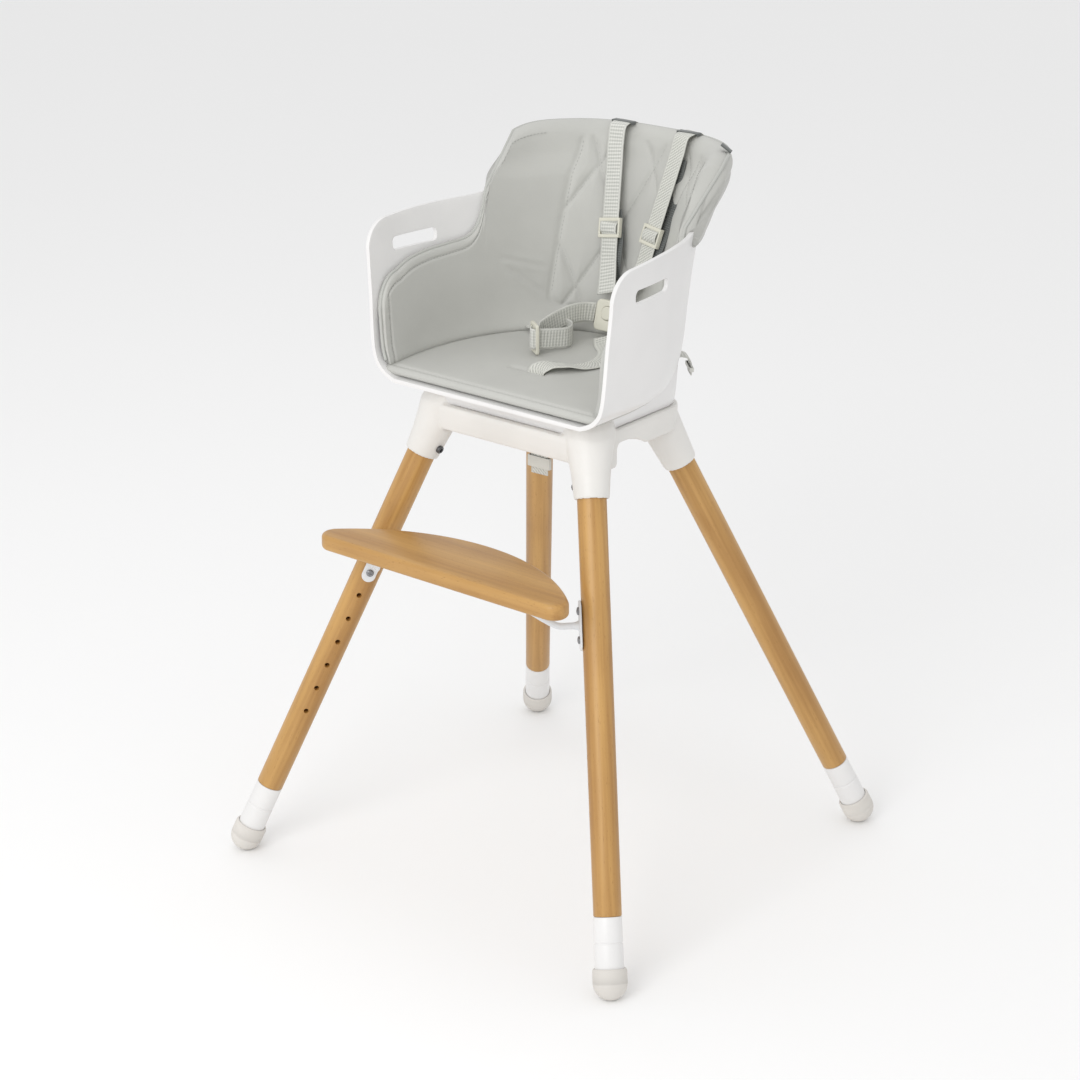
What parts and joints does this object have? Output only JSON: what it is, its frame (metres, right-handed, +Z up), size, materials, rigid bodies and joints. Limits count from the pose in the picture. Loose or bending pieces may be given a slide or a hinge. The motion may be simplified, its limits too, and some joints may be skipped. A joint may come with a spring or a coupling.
{
  "type": "baby high chair",
  "caption": "High chair with a bucket seat and cut-out armrests on splayed wooden legs, a padded liner, a safety harness and a height-adjustable wooden footrest.",
  "frame": {"origin": "on the floor, below the middle of the bounding box", "axes": "+Z up, the chair faces -Y, +X to the right when looking along +Y"},
  "size_m": [0.6178, 0.5897, 0.8902],
  "materials": {
    "white_plastic": "satin moulded polypropylene",
    "beech": "clear satin varnish over solid beech",
    "grey_rubber": "matt, pale warm grey",
    "screw_steel": "zinc-plated",
    "painted_rod": "pale grey powder coat",
    "grey_leather": "matt polyurethane leather over foam, stitched",
    "webbing": "ribbed polyester webbing",
    "buckle_plastic": "fine satin texture",
    "dark_ribbon": "dark grey woven ribbon",
    "grey_plastic": "satin"
  },
  "bodies": {
    "chair": {"leg_front_left": "beech", "leg_sleeve_front_left": "white_plastic", "foot_cap_front_left": "grey_rubber", "leg_front_right": "beech", "leg_sleeve_front_right": "white_plastic", "foot_cap_front_right": "grey_rubber", "leg_rear_left": "beech", "leg_sleeve_rear_left": "white_plastic", "foot_cap_rear_left": "grey_rubber", "leg_rear_right": "beech", "leg_sleeve_rear_right": "white_plastic", "foot_cap_rear_right": "grey_rubber", "leg_frame": "white_plastic", "leg_bolt_front_left": "screw_steel", "leg_bolt_front_right": "screw_steel", "leg_bolt_rear_left": "screw_steel", "leg_bolt_rear_right": "screw_steel", "seat_shell": "white_plastic", "seat_screw_1": "screw_steel", "seat_screw_2": "screw_steel", "seat_screw_3": "screw_steel", "seat_screw_4": "screw_steel", "seat_cushion": "grey_leather", "back_cushion": "grey_leather", "cushion_hood": "grey_leather", "hood_tab": "dark_ribbon", "buckle_body": "buckle_plastic", "buckle_tongue_left": "buckle_plastic", "shoulder_strap_left": "webbing", "strap_loop_left": "dark_ribbon", "waist_strap_left": "webbing", "waist_adjuster_left": "buckle_plastic", "waist_stop_left": "grey_plastic", "buckle_tongue_right": "buckle_plastic", "shoulder_strap_right": "webbing", "strap_loop_right": "dark_ribbon", "waist_strap_right": "webbing", "waist_adjuster_right": "buckle_plastic", "waist_stop_right": "grey_plastic", "crotch_strap": "webbing", "crotch_stop": "grey_plastic"},
    "footrest": {"footrest_board": "beech", "rod_saddle_left": "painted_rod", "rod_saddle_right": "painted_rod", "saddle_screw_front_left": "screw_steel", "saddle_screw_rear_left": "screw_steel", "saddle_screw_front_right": "screw_steel", "saddle_screw_rear_right": "screw_steel"},
    "bracket_left": {"footrest_bracket_left": "painted_rod", "bracket_screw_lower_left": "screw_steel", "bracket_screw_upper_left": "screw_steel"},
    "bracket_right": {"footrest_bracket_right": "painted_rod", "bracket_screw_lower_right": "screw_steel", "bracket_screw_upper_right": "screw_steel"},
    "button": {"buckle_button": "buckle_plastic"},
    "slider_left": {"strap_slider_left": "buckle_plastic"},
    "slider_right": {"strap_slider_right": "buckle_plastic"}
  },
  "joints": [
    {"name": "footrest_height", "type": "slide", "parent": "chair", "child": "footrest", "axis": [0, -0.3105, -0.9506], "range_m": [0, 0.19069]},
    {"name": "bracket_reach_left", "type": "slide", "parent": "footrest", "child": "bracket_left", "axis": [-1, 0, 0], "range_m": [0, 0.058]},
    {"name": "bracket_reach_right", "type": "slide", "parent": "footrest", "child": "bracket_right", "axis": [1, 0, 0], "range_m": [0, 0.058]},
    {"name": "buckle_release", "type": "slide", "parent": "chair", "child": "button", "axis": [0, 0.9664, -0.2571], "range_m": [0, 0.003], "stiffness_N_per_m": 800, "springref_m": -0.003},
    {"name": "strap_slide_left", "type": "slide", "parent": "chair", "child": "slider_left", "axis": [-0.1497, 0.2854, 0.9467], "range_m": [-0.025, 0.035]},
    {"name": "strap_slide_right", "type": "slide", "parent": "chair", "child": "slider_right", "axis": [0.136, 0.286, 0.9485], "range_m": [-0.025, 0.035]}
  ],
  "couplings": [
    {"joint": "bracket_reach_left", "follows": "footrest_height", "ratio": 0.30198},
    {"joint": "bracket_reach_right", "follows": "footrest_height", "ratio": 0.30198}
  ]
}
